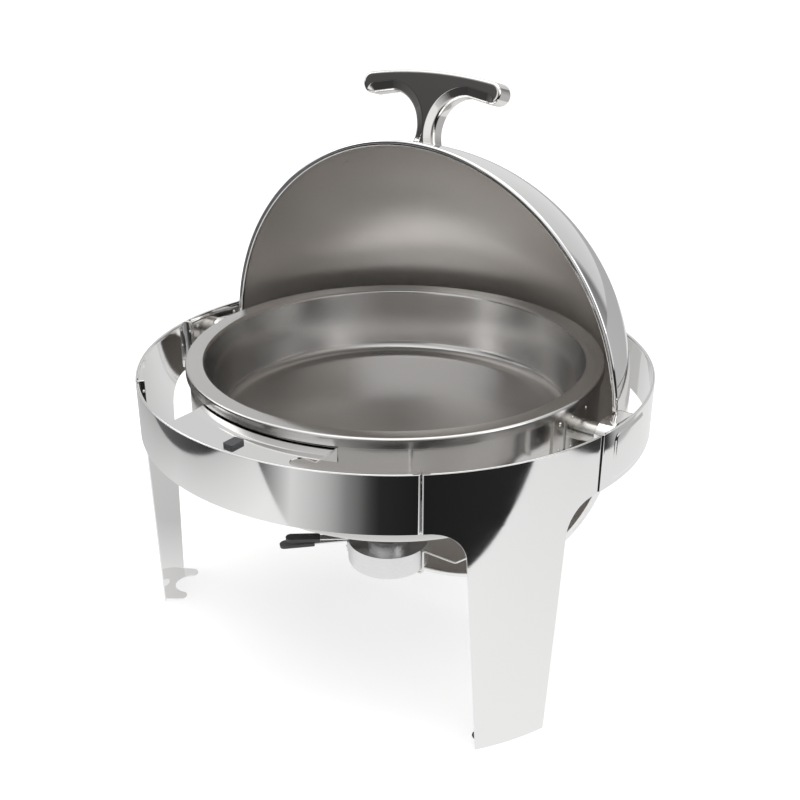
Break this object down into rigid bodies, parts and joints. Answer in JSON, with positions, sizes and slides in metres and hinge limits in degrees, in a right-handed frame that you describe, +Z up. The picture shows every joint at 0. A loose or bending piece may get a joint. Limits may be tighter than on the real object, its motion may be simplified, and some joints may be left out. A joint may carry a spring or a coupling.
{
  "type": "roll top chafer",
  "caption": "Round buffet chafer with a roll-back dome lid on side hinges, nested food and water pans in a polished ring frame on sheet legs, and a fuel holder hung below.",
  "frame": {"origin": "on the floor, at the centre of the round frame", "axes": "+Z up, front of the chafer towards -Y, lid hinge line along X"},
  "size_m": [0.4618, 0.46, 0.5017],
  "materials": {
    "mirror_steel": "mirror polished stainless steel",
    "brushed_steel": "fine brushed stainless steel",
    "pan_steel": "satin spun stainless steel",
    "cup_steel": "matte spun stainless steel",
    "fixing_steel": "plain stainless steel",
    "rubber": "matte black rubber",
    "grip_plastic": "matte black heat resistant plastic"
  },
  "bodies": {
    "frame": {"front_band_panel": "mirror_steel", "right_leg_panel": "mirror_steel", "left_leg_panel": "mirror_steel", "rear_leg_panel": "mirror_steel", "right_rear_band_panel": "mirror_steel", "left_rear_band_panel": "mirror_steel", "seam_rivets": "fixing_steel", "inner_support_ring": "brushed_steel", "front_shelf": "mirror_steel", "shelf_rivets": "fixing_steel", "lid_bumper": "rubber", "right_hinge_bracket": "brushed_steel", "left_hinge_bracket": "brushed_steel", "hinge_bracket_rivets": "fixing_steel", "right_hinge_spacer": "brushed_steel", "left_hinge_spacer": "brushed_steel", "hinge_pins": "fixing_steel", "hinge_washers": "fixing_steel", "hinge_bosses": "mirror_steel", "right_hinge_pad": "brushed_steel", "left_hinge_pad": "brushed_steel", "hinge_pad_rivets": "fixing_steel", "lid_stops": "fixing_steel", "cradle_wire": "fixing_steel", "cradle_clips": "fixing_steel"},
    "lid": {"lid_dome": "mirror_steel", "lid_rim_bead": "mirror_steel", "right_lid_lug": "mirror_steel", "left_lid_lug": "mirror_steel", "lug_rivets": "fixing_steel", "lid_handle": "mirror_steel", "handle_backing_plate": "fixing_steel", "handle_screws": "fixing_steel"},
    "water_pan": {"water_pan": "pan_steel"},
    "food_pan": {"food_pan": "pan_steel"},
    "fuel_holder": {"fuel_cup": "cup_steel", "cup_cover": "cup_steel", "cup_handle": "cup_steel", "cup_handle_rivets": "fixing_steel", "cup_handle_grip": "grip_plastic"},
    "damper": {"damper_cap": "cup_steel", "damper_grip": "grip_plastic"}
  },
  "joints": [
    {"name": "lid_roll", "type": "hinge", "parent": "frame", "child": "lid", "pos_m": [0, 0, 0.237], "axis": [1, 0, 0], "range_deg": [0, 89.2]},
    {"name": "water_pan_lift", "type": "slide", "parent": "frame", "child": "water_pan", "axis": [0, 0, 1], "range_m": [0, 0.015]},
    {"name": "food_pan_lift", "type": "slide", "parent": "water_pan", "child": "food_pan", "axis": [0, 0, 1], "range_m": [0, 0.035]},
    {"name": "fuel_holder_lift", "type": "slide", "parent": "frame", "child": "fuel_holder", "axis": [0, 0, 1], "range_m": [0, 0.03]},
    {"name": "damper_swing", "type": "hinge", "parent": "fuel_holder", "child": "damper", "pos_m": [0, -0.012, 0.0779], "axis": [0, 0, 1], "range_deg": [0, 90]}
  ]
}
